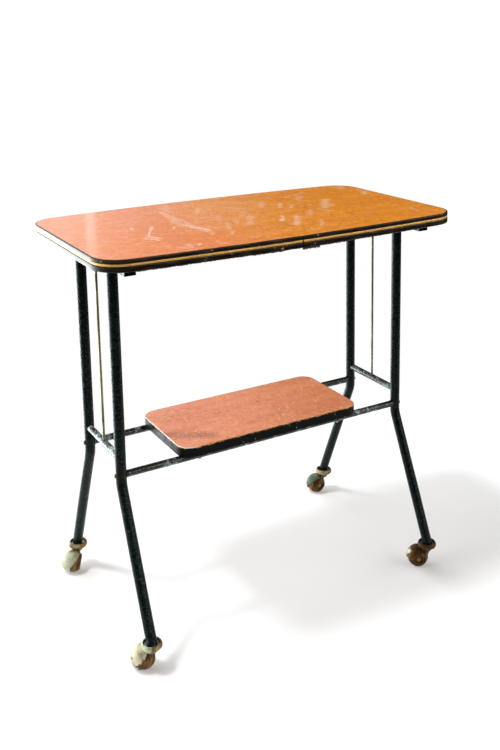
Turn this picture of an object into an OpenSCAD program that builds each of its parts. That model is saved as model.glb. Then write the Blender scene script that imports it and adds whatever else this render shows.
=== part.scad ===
/* [Table top] */
// Length of the table top
top_l = 711; // [600:1:860]
// Width of the table top at its middle
top_w = 409; // [370:1:480]
// How far each long side bows outward at its middle
top_bow = 15; // [4:1:20]
// Radius of the four corners of the top
top_corner_r = 52; // [30:1:60]
// Height of the top face above the floor
table_h = 720; // [640:5:800]
// Thickness of the core board
board_t = 20; // [16:0.2:30]
// Thickness of the laminate sheet on the core board
laminate_t = 1; // [0.8:0.1:2]
// Thickness of the edge moulding outside the board
moulding_t = 3; // [2.5:0.5:6]
// Height of the metal stripe in the moulding
stripe_h = 4.4; // [3:0.2:7]
// Height of the moulding bead above the stripe
bead_h = 7.2; // [6:0.1:10]
// Gap where the two ends of the moulding meet
moulding_gap = 1.4; // [0.6:0.2:4]

/* [Legs] */
// Outer diameter of the leg tube
leg_d = 19; // [16:0.5:24]
// Wall of the leg tube
leg_wall = 1.5; // [1:0.1:2]
// Distance of each leg from the end of the top
leg_inset = 58.7; // [50:0.1:90]
// Distance of the straight part of each leg from the middle across the table
leg_y = 78.5; // [60:0.5:100]
// Height of the bend where the leg splays out
kink_z = 293.5; // [270:0.5:296]
// Radius of the bend on the tube centre line
bend_r = 40; // [30:1:50]
// Height of the cut lower end of the leg tube
leg_cut_z = 52; // [50:0.5:56]
// Distance of the lower leg end from the middle across the table
foot_y = 188; // [165:1:192]

/* [Top bars] */
// Width of the bar that carries the top
bar_w = 20; // [19:0.5:26]
// Depth of the bar that carries the top
bar_h = 15; // [12:0.5:20]
// Length of the bar that carries the top
bar_l = 320; // [300:5:350]
// Wall of the bar
bar_wall = 1.5; // [1:0.1:2]

/* [Rails and rods] */
// Outer diameter of the rail tubes
rail_d = 12.7; // [10:0.1:15]
// Wall of the rail tubes
rail_wall = 1.2; // [1:0.1:2]
// Height of the long rails that carry the shelf
rail_z = 310.5; // [309:0.5:330]
// Height of the cross rails between the two legs of an end
cross_z = 340; // [335:1:380]
// Diameter of the brass rods
rod_d = 4.5; // [3:0.1:6]

/* [Shelf] */
// Length of the shelf
shelf_l = 382; // [340:2:460]
// Width of the shelf
shelf_w = 192; // [180:2:230]
// Distance of the shelf's middle from the table's middle, along the table
shelf_x = 4; // [0:0.5:10]
// Radius of the shelf corners
shelf_corner_r = 26; // [15:1:40]
// Thickness of the shelf board
shelf_t = 17; // [12:0.5:22]
// Thickness of the shelf laminate
shelf_laminate_t = 1; // [0.8:0.1:2]
// Thickness of the edge band of the shelf
band_t = 2; // [1:0.5:4]

/* [Screws] */
// Diameter of the screws that hold the top and the long rails
screw_d = 4; // [3:0.1:5]
// Head diameter of the screws that hold the top and the long rails
screw_head_d = 9.5; // [8:0.1:11]
// Distance of the top screws from the ends of a bar
top_screw_inset = 25; // [15:1:40]
// Diameter of the shelf screws
shelf_screw_d = 3.5; // [3:0.1:4]
// Distance of the shelf screws from the ends of the shelf
shelf_screw_inset = 41; // [20:1:60]

/* [Castors] */
// Outer diameter of the castor hood
hood_d = 46; // [44:0.5:50]
// Wall of the castor hood
hood_wall = 2; // [1.5:0.1:3]
// Gap between the hood and the wheel inside it
wheel_gap = 0.6; // [0.4:0.1:1.2]
// Distance by which the ball trails behind the stem
trail = 16; // [14:0.5:18]
// Distance by which the ball stands to the hood side of the stem
side_step = 8; // [6:0.5:10]
// Downward tilt of the wheel axle
axle_tilt = 12; // [6:1:16]
// Diameter of the wheel axle
axle_d = 5; // [4:0.1:6]
// Diameter of the swivel stem
stem_d = 8; // [7:0.1:9]
// Radial clearance of the turning fits
fit_gap = 0.05; // [0.02:0.01:0.08]
// Depth of the stem in its socket above the cut leg end
stem_reach = 9; // [7:0.5:9]
// Outer radius of the cup round the leg end
cup_r = 18.5; // [18:0.1:21]
// Radius of the rounded wall of the cup
cup_round = 6; // [5:0.1:7]
// Thickness of the thrust washer in the cup
washer_t = 1; // [0.6:0.1:1.6]

/* [Rest position] */
// Swivel angle of the left front castor
swivel_lf = 90; // [0:1:359]
// Swivel angle of the left rear castor
swivel_lr = 244; // [0:1:359]
// Swivel angle of the right front castor
swivel_rf = 155; // [0:1:359]
// Swivel angle of the right rear castor
swivel_rr = 190; // [0:1:359]

/* [Hidden] */
$fn = 64;

// One corner of the table: side along X, side along Y, swivel angle, hand of the castor
LEFT_FRONT = [-1, -1, swivel_lf, 1];
LEFT_REAR = [-1, 1, swivel_lr, 0];
RIGHT_FRONT = [1, -1, swivel_rf, 0];
RIGHT_REAR = [1, 1, swivel_rr, 0];

// Top outline: two large arcs joined to the ends by corner arcs that run on without a break
half_l = top_l / 2;
half_w = top_w / 2;
bow_r = (half_l * half_l + top_bow * top_bow) / (2 * top_bow);
bow_y = half_w - bow_r;
corner_x = half_l - top_corner_r;
corner_y = bow_y + sqrt(pow(bow_r - top_corner_r, 2) - corner_x * corner_x);
corner_a = asin(corner_x / (bow_r - top_corner_r));
BOW_FN = 2880;
ROUND_FN = 96;
// How far a cutting body reaches past the face that it cuts
over = 1;
// Gap that keeps two fitted pieces apart
slip = 0.05;

// Heights of the top, from the underside up
top_t = board_t + laminate_t;
top_under = table_h - top_t;
board_top = table_h - laminate_t;
stripe_top = table_h - bead_h;
stripe_under = stripe_top - stripe_h;
stripe_sink = 0.8;
stripe_t = 1;
stripe_gap = 0.25;
bead_lap = 0.2;
// Each step of a bead's rounded edge: distance from the bead's own edge, and inset
bead_steps = [[0, 1.2], [0.35, 0.6], [0.8, 0.25], [1.3, 0]];
tongue_h = 2.4;
tongue_l = 9;
tongue_z = stripe_under + (stripe_h - tongue_h) / 2;
groove_gap = 0.1;
bar_under = top_under - bar_h;

// Legs: straight tube, bend and splayed tube
leg_x = half_l - leg_inset;
splay = atan((foot_y - leg_y) / (kink_z - leg_cut_z));
bend_run = bend_r * tan(splay / 2);
bend_top = kink_z + bend_run;
splay_l = (kink_z - leg_cut_z) / cos(splay) - bend_run;
tube_lap = 1;
tube_draw = 0.05;
bore_low_r = leg_d / 2 - leg_wall - tube_draw;

// Shelf
shelf_under = rail_z + rail_d / 2;
shelf_board_top = shelf_under + shelf_t;
shelf_laminate_in = 0.4;

// Screws
head_h = 3;
nut_l = 14;
nut_gap = 0.2;
saddle = 1.3;
top_screw_bite = 14;
top_screw_y = bar_l / 2 - top_screw_inset;
shelf_screw_bite = 11;
shelf_screw_x = shelf_l / 2 - shelf_screw_inset;
hole_gap = 0.1;

// Castors, with the floor at zero and the stem on the corner's own vertical axis
stem_inset = 2;
stem_y = foot_y - stem_inset;
end_gap = 0.1;
hood_r = hood_d / 2;
ball_r = hood_r - hood_wall - wheel_gap;
ball_z = ball_r;
tyre_back = -2;
tyre_front = 7;
tyre_t = 4;
wheel_back = -4;
wheel_face = 14.5;
wheel_sunk = 0.3;
recess_r = 7.5;
recess_d = 2.5;
head_seat = wheel_face - recess_d + end_gap;
axle_head_r = 5;
axle_head_h = 2;
boss_r = 5;
boss_gap = 0.4;
axle_sunk = 0.6;
opening_tilt = 43;
opening_shift = -2;
hood_floor_gap = 5;
cup_z = 50;
cup_floor_t = 1.5;
cup_floor = cup_z - cup_round + cup_floor_t;
cup_wall = 4;
knuckle_r = 10;
socket_flange_t = 2.5;
socket_under = cup_floor + washer_t + end_gap;
boss_wall = 5;
boss_d = stem_d + 2 * boss_wall;
spigot_l = 24;
flange_r = leg_d / 2 / cos(splay) + foot_y - stem_y;
stem_top = leg_cut_z + stem_reach;
stem_sunk = 9;

module top_outline(inset) {
    difference() {
        intersection() {
            translate([0, bow_y]) circle(r = bow_r - inset, $fn = BOW_FN);
            translate([0, -bow_y]) circle(r = bow_r - inset, $fn = BOW_FN);
            square([top_l - 2 * inset, top_w + 2 * over], center = true);
        }
        for (sx = [-1, 1], sy = [-1, 1]) scale([sx, sy]) corner_cut();
    }
    for (sx = [-1, 1], sy = [-1, 1])
        translate([sx * corner_x, sy * corner_y]) circle(r = top_corner_r - inset, $fn = ROUND_FN);
}

// The part of the outline outside a corner arc, bounded by the radii at the arc's two ends
module corner_cut() {
    far = 2 * top_corner_r;
    polygon([
        [corner_x, corner_y],
        [corner_x + far * sin(corner_a), corner_y + far * cos(corner_a)],
        [corner_x + far, corner_y + far],
        [corner_x + far, corner_y]
    ]);
}

module slab(z, h, inset) {
    translate([0, 0, z]) linear_extrude(height = h) top_outline(inset);
}

module top_board() {
    color("burlywood") difference() {
        slab(top_under, board_t, moulding_t);
        difference() {
            slab(tongue_z - groove_gap, tongue_h + 2 * groove_gap, 0);
            slab(tongue_z - over, tongue_h + 2 * over, moulding_t + tongue_l + groove_gap);
        }
        for (p = top_screw_places()) translate([p[0], p[1], bar_under])
            cylinder(d = screw_d + hole_gap, h = bar_h + top_screw_bite + over);
    }
}

module top_laminate() {
    color("peru") slab(board_top, laminate_t, moulding_t + slip);
}

module moulding_slot(y_in) {
    translate([-moulding_gap / 2, -top_w / 2 - over, top_under - over])
        cube([moulding_gap, y_in + over, top_t + 2 * over]);
}

// Two rounded beads with a sunk channel between them, and a tongue that fits the groove of the board
module edge_moulding() {
    color([0.12, 0.09, 0.08]) difference() {
        union() {
            bead(top_under, stripe_under - top_under);
            bead(stripe_top, bead_h);
            slab(stripe_under - bead_lap, stripe_h + 2 * bead_lap, stripe_sink + stripe_t);
            slab(tongue_z, tongue_h, stripe_sink + stripe_t + over);
        }
        difference() {
            slab(top_under - over, top_t + 2 * over, moulding_t);
            difference() {
                slab(tongue_z, tongue_h, moulding_t - over);
                slab(tongue_z - over, tongue_h + 2 * over, moulding_t + tongue_l);
            }
        }
        moulding_slot(moulding_t + tongue_l + over);
    }
}

// A bead: bands that reach farther out towards the bead's middle
module bead(z, h) {
    for (e = bead_steps) slab(z + e[0], h - 2 * e[0], e[1]);
}

module edge_stripe() {
    color("goldenrod") difference() {
        slab(stripe_under + stripe_gap, stripe_h - 2 * stripe_gap, stripe_sink);
        slab(stripe_under - over, stripe_h + 2 * over, stripe_sink + stripe_t);
        moulding_slot(stripe_sink + stripe_t + over);
    }
}

// Places the children at one corner's leg, as drawn for the right rear corner
module at_corner(corner) {
    mirror([corner[0] < 0 ? 1 : 0, 0, 0]) mirror([0, corner[1] < 0 ? 1 : 0, 0]) children();
}

// The leg's solid of a given radius, longer by a margin at its upper end and past the foot.
// The splayed length starts inside the bend and is drawn a little thinner.
module leg_core(r, margin) {
    translate([leg_x, leg_y, bend_top]) cylinder(r = r, h = bar_under - bend_top + margin);
    translate([leg_x, leg_y + bend_r, bend_top]) rotate([90, 0, 90]) rotate(180)
        rotate_extrude(angle = splay, $fn = ROUND_FN) translate([bend_r, 0]) circle(r = r);
    translate([leg_x, leg_y, kink_z]) rotate([180 + splay, 0, 0]) translate([0, 0, bend_run - tube_lap])
        cylinder(r = r - tube_draw, h = splay_l + margin + leg_d);
}

// Everything under the level cut of the leg end
module under_leg() {
    translate([leg_x - leg_d, foot_y - 2 * leg_d, leg_cut_z - 3 * leg_d])
        cube([2 * leg_d, 4 * leg_d, 3 * leg_d]);
}

module leg(corner) {
    color([0.09, 0.11, 0.11]) at_corner(corner) difference() {
        leg_core(leg_d / 2, 0);
        leg_core(leg_d / 2 - leg_wall, over);
        under_leg();
        translate([leg_x, leg_y, rail_z]) rotate([0, 90, 0])
            cylinder(d = screw_d + hole_gap, h = 2 * leg_d, center = true);
    }
}

module leg_left_front() { leg(LEFT_FRONT); }
module leg_left_rear() { leg(LEFT_REAR); }
module leg_right_front() { leg(RIGHT_FRONT); }
module leg_right_rear() { leg(RIGHT_REAR); }

module top_bar(sx) {
    color([0.09, 0.11, 0.11]) translate([sx * leg_x, 0, bar_under]) difference() {
        translate([-bar_w / 2, -bar_l / 2, 0]) cube([bar_w, bar_l, bar_h]);
        translate([-bar_w / 2 + bar_wall, -bar_l / 2 - over, bar_wall])
            cube([bar_w - 2 * bar_wall, bar_l + 2 * over, bar_h - 2 * bar_wall]);
        translate([0, 0, -over]) cylinder(d = rod_d + hole_gap, h = bar_h / 2);
        for (sy = [-1, 1]) translate([0, sy * top_screw_y, -over])
            cylinder(d = screw_d + hole_gap, h = bar_h + 2 * over);
    }
}

module top_bar_left() { top_bar(-1); }
module top_bar_right() { top_bar(1); }

function top_screw_places() =
    [for (sx = [-1, 1], sy = [-1, 1]) [sx * leg_x, sy * top_screw_y]];

module pan_head(r, h) {
    intersection() {
        translate([0, 0, h - cap_radius(r, h)]) sphere(r = cap_radius(r, h));
        cylinder(r = r + over, h = h + over);
    }
}

function cap_radius(r, h) = (r * r + h * h) / (2 * h);

module top_screws() {
    color("dimgray") for (p = top_screw_places()) translate([p[0], p[1], bar_under]) {
        cylinder(d = screw_d, h = bar_h + top_screw_bite);
        mirror([0, 0, 1]) pan_head(screw_head_d / 2, head_h);
    }
}

// A cross rail ends on the round faces of its two legs
module cross_rail(sx) {
    color([0.09, 0.11, 0.11]) translate([sx * leg_x, 0, cross_z]) difference() {
        rotate([90, 0, 0]) cylinder(d = rail_d, h = 2 * leg_y, center = true);
        rotate([90, 0, 0]) cylinder(d = rail_d - 2 * rail_wall, h = 2 * leg_y + 2 * over, center = true);
        for (sy = [-1, 1]) translate([0, sy * leg_y, 0]) cylinder(d = leg_d, h = 2 * rail_d, center = true);
        cylinder(d = rod_d + hole_gap, h = rail_d);
    }
}

module cross_rail_left() { cross_rail(-1); }
module cross_rail_right() { cross_rail(1); }

// A rod stands on the lower wall of the cross rail and reaches up to the upper wall of the bar
module brass_rod(sx) {
    foot = cross_z - sqrt(pow(rail_d / 2 - rail_wall, 2) - rod_d * rod_d / 4);
    color("goldenrod") translate([sx * leg_x, 0, foot])
        cylinder(d = rod_d, h = top_under - bar_wall - foot);
}

module brass_rod_left() { brass_rod(-1); }
module brass_rod_right() { brass_rod(1); }

module rail(sy) {
    color([0.09, 0.11, 0.11]) translate([0, sy * leg_y, rail_z]) difference() {
        rotate([0, 90, 0]) cylinder(d = rail_d, h = 2 * leg_x, center = true);
        rotate([0, 90, 0]) cylinder(d = rail_d - 2 * rail_wall, h = 2 * leg_x + 2 * over, center = true);
        for (sx = [-1, 1]) {
            translate([sx * leg_x, 0, 0]) cylinder(d = leg_d, h = 2 * rail_d, center = true);
            translate([shelf_x + sx * shelf_screw_x, 0, -rail_d])
                cylinder(d = shelf_screw_d + hole_gap, h = 2 * rail_d);
        }
    }
}

module rail_front() { rail(-1); }
module rail_rear() { rail(1); }

// Round-headed screws through the legs into the nut in each end of the long rails; the head's
// underside follows the tube
module rail_screws() {
    color("gold") for (c = [LEFT_FRONT, LEFT_REAR, RIGHT_FRONT, RIGHT_REAR]) at_corner(c)
        translate([leg_x, leg_y, rail_z]) {
            translate([-leg_d / 2 - nut_gap - nut_l, 0, 0]) rotate([0, 90, 0])
                cylinder(d = screw_d, h = leg_d + nut_gap + nut_l + over);
            difference() {
                translate([leg_d / 2 - saddle, 0, 0]) rotate([0, 90, 0])
                    pan_head(screw_head_d / 2, head_h + saddle);
                cylinder(d = leg_d, h = 2 * screw_head_d, center = true);
            }
        }
}

module rail_nuts() {
    color("silver") for (c = [LEFT_FRONT, LEFT_REAR, RIGHT_FRONT, RIGHT_REAR]) at_corner(c)
        translate([leg_x - leg_d / 2 - nut_gap - nut_l, leg_y, rail_z]) rotate([0, 90, 0]) difference() {
            cylinder(d = rail_d - 2 * rail_wall, h = nut_l);
            translate([0, 0, -over]) cylinder(d = screw_d + hole_gap, h = nut_l + 2 * over);
        }
}

module shelf_outline(inset) {
    x = shelf_l / 2 - shelf_corner_r;
    y = shelf_w / 2 - shelf_corner_r;
    square([2 * x, shelf_w - 2 * inset], center = true);
    square([shelf_l - 2 * inset, 2 * y], center = true);
    for (sx = [-1, 1], sy = [-1, 1])
        translate([sx * x, sy * y]) circle(r = shelf_corner_r - inset, $fn = ROUND_FN);
}

module shelf_slab(z, h, inset) {
    translate([shelf_x, 0, z]) linear_extrude(height = h) shelf_outline(inset);
}

function shelf_screw_places() =
    [for (sx = [-1, 1], sy = [-1, 1]) [shelf_x + sx * shelf_screw_x, sy * leg_y]];

module shelf_board() {
    color("burlywood") difference() {
        shelf_slab(shelf_under, shelf_t, band_t);
        for (p = shelf_screw_places()) translate([p[0], p[1], shelf_under - over])
            cylinder(d = shelf_screw_d + hole_gap, h = shelf_screw_bite + 2 * over);
    }
}

module shelf_laminate() {
    color("indianred") shelf_slab(shelf_board_top, shelf_laminate_t, shelf_laminate_in);
}

module shelf_edge_band() {
    color([0.1, 0.08, 0.08]) difference() {
        shelf_slab(shelf_under, shelf_t, 0);
        shelf_slab(shelf_under - over, shelf_t + 2 * over, band_t);
    }
}

module shelf_screws() {
    color("dimgray") for (p = shelf_screw_places()) translate([p[0], p[1], rail_z - rail_d / 2]) {
        cylinder(d = shelf_screw_d, h = rail_d + shelf_screw_bite);
        mirror([0, 0, 1]) pan_head(shelf_screw_d, head_h);
    }
}

// Plug pressed into the leg end: its spigot follows the tube, and its bore for the stem is upright
module socket(corner) {
    color("gray") at_corner(corner) difference() {
        union() {
            difference() {
                translate([leg_x, leg_y, kink_z]) rotate([180 + splay, 0, 0])
                    translate([0, 0, bend_run + splay_l - spigot_l])
                    cylinder(r = bore_low_r - slip, h = spigot_l + leg_d);
                under_leg();
            }
            translate([leg_x, stem_y, leg_cut_z - socket_flange_t])
                cylinder(r = flange_r, h = socket_flange_t);
            translate([leg_x, stem_y, socket_under])
                cylinder(d = boss_d, h = leg_cut_z - socket_flange_t - socket_under);
        }
        translate([leg_x, stem_y, socket_under - over])
            cylinder(d = stem_d + 2 * fit_gap, h = stem_top - socket_under + 2 * over);
    }
}

module socket_left_front() { socket(LEFT_FRONT); }
module socket_left_rear() { socket(LEFT_REAR); }
module socket_right_front() { socket(RIGHT_FRONT); }
module socket_right_rear() { socket(RIGHT_REAR); }

// Places the children at a castor: origin on the floor under the stem, ball trailing along +X
module at_castor(corner) {
    translate([corner[0] * leg_x, corner[1] * stem_y, 0])
        rotate(corner[2]) mirror([0, corner[3], 0]) children();
}

// Places the children at the ball centre
module at_ball() {
    translate([trail, -side_step, ball_z]) children();
}

// Places the children at the ball centre with the axle along +Z, pointing out of the wheel
module along_axle() {
    at_ball() rotate([-90 - axle_tilt, 0, 0]) children();
}

// Bowl-shaped cup with a rounded rim
module cup() {
    rotate_extrude($fn = ROUND_FN) translate([cup_r - cup_round, cup_z]) circle(r = cup_round);
    translate([0, 0, cup_z - cup_round]) cylinder(r = cup_r - cup_round, h = cup_round);
    translate([0, 0, cup_z - cup_round - over]) sphere(r = knuckle_r);
}

module cup_hollow() {
    translate([0, 0, cup_floor]) cylinder(r = cup_r - cup_wall, h = 2 * cup_round + over);
}

// Hood dome, open towards the wheel and the floor
module dome() {
    difference() {
        at_ball() sphere(r = hood_r);
        at_ball() rotate([-90 - opening_tilt, 0, 0]) translate([-hood_d, -hood_d, opening_shift])
            cube([2 * hood_d, 2 * hood_d, hood_d]);
        translate([-hood_d, -2 * hood_d, hood_floor_gap - hood_d]) cube([3 * hood_d, 3 * hood_d, hood_d]);
    }
}

module hood(corner) {
    color([0.45, 0.36, 0.22]) at_castor(corner) difference() {
        union() {
            difference() {
                union() {
                    dome();
                    cup();
                }
                at_ball() sphere(r = hood_r - hood_wall);
                cup_hollow();
            }
            intersection() {
                along_axle() translate([0, 0, -hood_r])
                    cylinder(r = boss_r, h = hood_r + wheel_back - boss_gap);
                at_ball() sphere(r = hood_r - hood_wall / 2);
            }
        }
        along_axle() translate([0, 0, -hood_d]) cylinder(d = axle_d, h = hood_d);
        translate([0, 0, cup_floor - stem_sunk]) cylinder(d = stem_d, h = stem_sunk + over);
    }
}

module stem(corner) {
    color("silver") at_castor(corner) translate([0, 0, cup_floor - stem_sunk])
        cylinder(d = stem_d, h = stem_top - cup_floor + stem_sunk);
}

module washer(corner) {
    color("gold") at_castor(corner) translate([0, 0, cup_floor]) difference() {
        cylinder(d = boss_d, h = washer_t);
        translate([0, 0, -over]) cylinder(d = stem_d + 2 * fit_gap, h = washer_t + 2 * over);
    }
}

module axle(corner) {
    color("gold") at_castor(corner) along_axle() {
        translate([0, 0, axle_sunk - hood_r])
            cylinder(d = axle_d, h = hood_r - axle_sunk + head_seat + over);
        translate([0, 0, head_seat]) pan_head(axle_head_r, axle_head_h);
    }
}

module wheel(corner) {
    color([0.4, 0.28, 0.16]) at_castor(corner) along_axle() difference() {
        intersection() {
            sphere(r = ball_r - wheel_sunk, $fn = ROUND_FN);
            translate([0, 0, wheel_back]) cylinder(r = hood_r, h = wheel_face - wheel_back);
        }
        tyre_ring(hood_r);
        translate([0, 0, wheel_face - recess_d]) cylinder(r = recess_r, h = recess_d + over);
        translate([0, 0, wheel_back - over]) cylinder(d = axle_d + 2 * fit_gap, h = hood_d);
    }
}

module tyre_ring(r) {
    translate([0, 0, tyre_back]) difference() {
        cylinder(r = r, h = tyre_front - tyre_back);
        translate([0, 0, -over]) cylinder(r = ball_r - tyre_t, h = tyre_front - tyre_back + 2 * over);
    }
}

module tyre(corner) {
    color([0.16, 0.12, 0.1]) at_castor(corner) along_axle() intersection() {
        tyre_ring(hood_r);
        sphere(r = ball_r, $fn = ROUND_FN);
    }
}

module hood_left_front() { hood(LEFT_FRONT); }
module stem_left_front() { stem(LEFT_FRONT); }
module washer_left_front() { washer(LEFT_FRONT); }
module axle_left_front() { axle(LEFT_FRONT); }
module wheel_left_front() { wheel(LEFT_FRONT); }
module tyre_left_front() { tyre(LEFT_FRONT); }

module hood_left_rear() { hood(LEFT_REAR); }
module stem_left_rear() { stem(LEFT_REAR); }
module washer_left_rear() { washer(LEFT_REAR); }
module axle_left_rear() { axle(LEFT_REAR); }
module wheel_left_rear() { wheel(LEFT_REAR); }
module tyre_left_rear() { tyre(LEFT_REAR); }

module hood_right_front() { hood(RIGHT_FRONT); }
module stem_right_front() { stem(RIGHT_FRONT); }
module washer_right_front() { washer(RIGHT_FRONT); }
module axle_right_front() { axle(RIGHT_FRONT); }
module wheel_right_front() { wheel(RIGHT_FRONT); }
module tyre_right_front() { tyre(RIGHT_FRONT); }

module hood_right_rear() { hood(RIGHT_REAR); }
module stem_right_rear() { stem(RIGHT_REAR); }
module washer_right_rear() { washer(RIGHT_REAR); }
module axle_right_rear() { axle(RIGHT_REAR); }
module wheel_right_rear() { wheel(RIGHT_REAR); }
module tyre_right_rear() { tyre(RIGHT_REAR); }

top_board();
top_laminate();
edge_moulding();
edge_stripe();
leg_left_front();
leg_left_rear();
leg_right_front();
leg_right_rear();
top_bar_left();
top_bar_right();
cross_rail_left();
cross_rail_right();
brass_rod_left();
brass_rod_right();
rail_front();
rail_rear();
rail_screws();
rail_nuts();
top_screws();
shelf_board();
shelf_laminate();
shelf_edge_band();
shelf_screws();
socket_left_front();
socket_left_rear();
socket_right_front();
socket_right_rear();
hood_left_front();
stem_left_front();
washer_left_front();
axle_left_front();
wheel_left_front();
tyre_left_front();
hood_left_rear();
stem_left_rear();
washer_left_rear();
axle_left_rear();
wheel_left_rear();
tyre_left_rear();
hood_right_front();
stem_right_front();
washer_right_front();
axle_right_front();
wheel_right_front();
tyre_right_front();
hood_right_rear();
stem_right_rear();
washer_right_rear();
axle_right_rear();
wheel_right_rear();
tyre_right_rear();
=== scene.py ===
import math

import bmesh
import bpy
from mathutils import Matrix, Vector


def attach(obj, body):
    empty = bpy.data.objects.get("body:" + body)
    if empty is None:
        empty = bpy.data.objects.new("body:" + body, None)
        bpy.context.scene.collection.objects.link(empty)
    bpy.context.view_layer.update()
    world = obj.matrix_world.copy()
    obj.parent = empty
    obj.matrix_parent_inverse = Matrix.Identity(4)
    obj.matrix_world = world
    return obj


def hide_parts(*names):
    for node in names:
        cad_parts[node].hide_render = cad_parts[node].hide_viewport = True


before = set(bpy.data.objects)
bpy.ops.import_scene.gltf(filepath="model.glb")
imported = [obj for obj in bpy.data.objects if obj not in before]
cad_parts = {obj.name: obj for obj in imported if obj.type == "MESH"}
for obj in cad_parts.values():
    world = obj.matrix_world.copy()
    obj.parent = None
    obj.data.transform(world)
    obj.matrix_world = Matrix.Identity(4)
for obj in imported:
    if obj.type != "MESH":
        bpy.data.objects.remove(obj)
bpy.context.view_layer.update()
scene = bpy.context.scene
scene.view_settings.view_transform = "Standard"

# ---------------------------------------- camera
# A photograph taken from standing height, in front of the table's long side and to its left.
# The picture's frame lies below and beside the lens axis, which the lens shift follows.
CAMERA_PLACE = Vector((-0.833524, -1.523659, 1.072339))
CAMERA_TURN, CAMERA_PITCH, CAMERA_ROLL = (math.radians(a) for a in (30.437, -10.491, -0.795))
FOCAL_PIXELS, LONG_SIDE, SENSOR = 943.607, 750, 36
SHIFT_PIXELS = (-23.2, -175.6)


def add_object(name, data):
    """An object of that data, linked into the scene."""
    made = bpy.data.objects.new(name, data)
    scene.collection.objects.link(made)
    return made


forward = Vector((
    math.sin(CAMERA_TURN) * math.cos(CAMERA_PITCH),
    math.cos(CAMERA_TURN) * math.cos(CAMERA_PITCH),
    math.sin(CAMERA_PITCH),
))
level = forward.cross(Vector((0, 0, 1))).normalized()
upward = level.cross(forward)
right = level * math.cos(CAMERA_ROLL) + upward * math.sin(CAMERA_ROLL)
up = upward * math.cos(CAMERA_ROLL) - level * math.sin(CAMERA_ROLL)
lens = bpy.data.cameras.new("camera")
lens.sensor_width = SENSOR
lens.lens = FOCAL_PIXELS * SENSOR / LONG_SIDE
lens.shift_x, lens.shift_y = (p / LONG_SIDE for p in SHIFT_PIXELS)
camera = add_object("camera", lens)
axes = Matrix((right, up, -forward)).transposed().to_4x4()
camera.matrix_world = Matrix.Translation(CAMERA_PLACE) @ axes
scene.camera = camera


def add_node(tree, kind, sockets=None, **settings):
    """A node with its settings made; a socket takes a value, a colour or another node's output."""
    made = tree.nodes.new(kind)
    for name, value in settings.items():
        setattr(made, name, value)
    for name, value in (sockets or {}).items():
        socket = made.inputs[name]
        if isinstance(value, bpy.types.NodeSocket):
            tree.links.new(value, socket)
        else:
            opaque = socket.type == "RGBA" and len(value) == 3
            socket.default_value = (*value, 1) if opaque else value
    return made


def calc(tree, operation, *values):
    """The output of a maths node."""
    return add_node(tree, "ShaderNodeMath", dict(enumerate(values)), operation=operation).outputs[0]


def scaled(tree, value, factor, offset):
    """A value times a factor, plus an offset."""
    return calc(tree, "MULTIPLY_ADD", value, factor, offset)


def times(tree, first, *others):
    """The product of several values."""
    for other in others:
        first = calc(tree, "MULTIPLY", first, other)
    return first


def most(tree, first, *others):
    """The greatest of several values."""
    for other in others:
        first = calc(tree, "MAXIMUM", first, other)
    return first


def span(tree, value, low, high, start=0, end=1):
    """A value taken smoothly from start at low to end at high."""
    sockets = {"Value": value, "From Min": low, "From Max": high, "To Min": start, "To Max": end}
    return add_node(tree, "ShaderNodeMapRange", sockets, interpolation_type="SMOOTHSTEP").outputs[0]


def between(tree, value, opening, opened, closing, closed):
    """1 from opened to closing, and down smoothly to 0 at opening and at closed."""
    return times(tree, span(tree, value, opening, opened), span(tree, value, closing, closed, 1, 0))


def split(tree, vector):
    """The X, Y and Z of a vector."""
    return add_node(tree, "ShaderNodeSeparateXYZ", {0: vector}).outputs


def mixed(tree, share, first, second, blend="MIX"):
    """Two colours mixed by a share."""
    sockets = {0: share, 6: first, 7: second}
    return add_node(tree, "ShaderNodeMix", sockets, data_type="RGBA", blend_type=blend).outputs[2]


def added(tree, first, second):
    """The light of two shaders together."""
    return add_node(tree, "ShaderNodeAddShader", {0: first, 1: second}).outputs[0]


# ---------------------------------------- studio
# The table stands on white paper, lit by a tall window beside its left end. A pale wall runs on
# behind that end and the rest of the room is dim. The camera sees white air, and the window's
# upper part is kept out of mirror images, so that the glossy laminates show their print.
# How bright the surround is by bearing, in degrees from straight behind the table
DIM_ROOM = 0.05
WALL_BY_BEARING = (
    (-105, 0.05), (-87, 1), (-60, 1.2), (16, 1.2), (17.4, 1.2), (18.8, 0.76), (20, 0.68),
    (21.4, 0.6), (23, 0.46), (25.5, 0.36), (28, 0.22), (32, 0.05), (60, 0.05),
)
CEILING, WHITE = (0.2, 0.195, 0.185), (1, 1, 1, 1)
PANE_COLOUR, HIGH_PANE_COLOUR = (0.93, 1, 1.05), (1.06, 1, 0.92)
SUN_COLOUR = (0.98, 1, 1)
# Strengths of the window, its barest part, a high window at the right and a glint on a door's edge
PANE, BARE_PANE, HIGH_PANE, DOOR_GLINT = 2.1, 3.2, 4, 0.8
# Each sun's strength, its spread in degrees and the way to it
SUNS = {"window_light": (1.45, 8, (-0.75, 0.17, 1.75)), "low_light": (0.65, 20, (-1.7, 0.45, 0.85))}
PAPER, PAPER_COLOUR, PAPER_GLOW = ((-0.75, -0.85), (2, 0.6)), (0.735, 0.73, 0.732), 0.13
room = bpy.data.worlds.new("room")
scene.world = room
room.use_nodes = True
air = room.node_tree
air.nodes.clear()
eastward, northward, height = split(air, add_node(air, "ShaderNodeTexCoord").outputs["Generated"])
bearing = times(air, calc(air, "ARCTAN2", eastward, northward), 180 / math.pi)
wall = add_node(air, "ShaderNodeValToRGB", {"Fac": scaled(air, bearing, 1 / 360, 0.5)})
stops = wall.color_ramp.elements
stops[0].color = stops[1].color = (DIM_ROOM, DIM_ROOM, DIM_ROOM, 1)
for degrees, shade in WALL_BY_BEARING:
    stops.new(degrees / 360 + 0.5).color = (shade, shade, shade, 1)
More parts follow.
